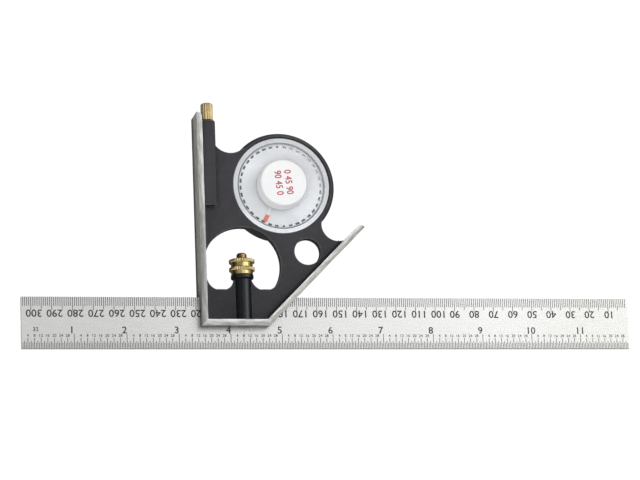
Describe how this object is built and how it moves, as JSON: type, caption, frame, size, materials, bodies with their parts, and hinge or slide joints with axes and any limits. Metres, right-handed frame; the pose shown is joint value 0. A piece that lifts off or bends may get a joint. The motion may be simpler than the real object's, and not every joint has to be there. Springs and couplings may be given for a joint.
{
  "type": "combination square with angle finder",
  "caption": "Cast square and mitre head clamped on a graduated steel rule, with a gravity pointer dial for reading angles and a scriber stored in the head.",
  "frame": {"origin": "under the middle of the outline, on the plane of the flanges' back edges that the tool lies on", "axes": "+X along the rule away from the square face, +Y up the square face towards the scriber knob, +Z out of the dial"},
  "size_m": [0.3048, 0.123, 0.0162],
  "materials": {
    "casting": "satin charcoal enamel, flange faces milled bare",
    "rule_steel": "satin chromed",
    "brass": "turned and knurled",
    "brass_plain": "turned",
    "black_steel": "gloss black",
    "spring_steel": "drawn wire",
    "needle_steel": "ground",
    "black_nylon": "matte",
    "white_case": "moulded",
    "dial_print": "printed card",
    "bezel_white": "moulded with fine ticks",
    "clear_lens": "clear moulding",
    "hub_white": "moulded",
    "pointer_white": "painted",
    "pointer_red": "painted"
  },
  "bodies": {
    "head": {"head_casting": "casting", "clamp_spring": "spring_steel", "clamp_collar": "black_steel", "scriber_sleeve": "black_nylon", "dial_case": "white_case", "dial_card": "dial_print", "bezel_ring": "bezel_white", "lens": "clear_lens", "hub_cap": "hub_white", "pivot_pin": "needle_steel", "rear_washer": "brass_plain", "front_washer": "brass_plain"},
    "rule_blade": {"rule": "rule_steel"},
    "nut": {"clamp_nut": "brass"},
    "stud": {"clamp_stud": "brass_plain"},
    "scriber": {"scriber_needle": "needle_steel", "scriber_knob": "brass"},
    "pointer": {"pointer_bush": "brass_plain", "pointer_arm": "pointer_white", "pointer_tip": "pointer_red", "balance_weight": "brass_plain"}
  },
  "joints": [
    {"name": "rule_slide", "type": "slide", "parent": "head", "child": "rule_blade", "axis": [1, 0, 0], "range_m": [-0.165, 0.085]},
    {"name": "nut_turn", "type": "hinge", "parent": "head", "child": "nut", "pos_m": [-0.0441, -0.02, 0.0075], "axis": [0, 1, 0], "range_deg": [0, 180]},
    {"name": "stud_slide", "type": "slide", "parent": "head", "child": "stud", "axis": [0, 1, 0], "range_m": [-0.0004, 0]},
    {"name": "scriber_slide", "type": "slide", "parent": "head", "child": "scriber", "axis": [0, 1, 0], "range_m": [0, 0.04]},
    {"name": "pointer_swing", "type": "hinge", "parent": "head", "child": "pointer", "pos_m": [-0.0233, 0.0201, 0.009], "axis": [0, 0, 1], "continuous": true}
  ],
  "couplings": [
    {"joint": "nut_turn", "follows": "stud_slide", "rad_per_m": -7853.9}
  ]
}
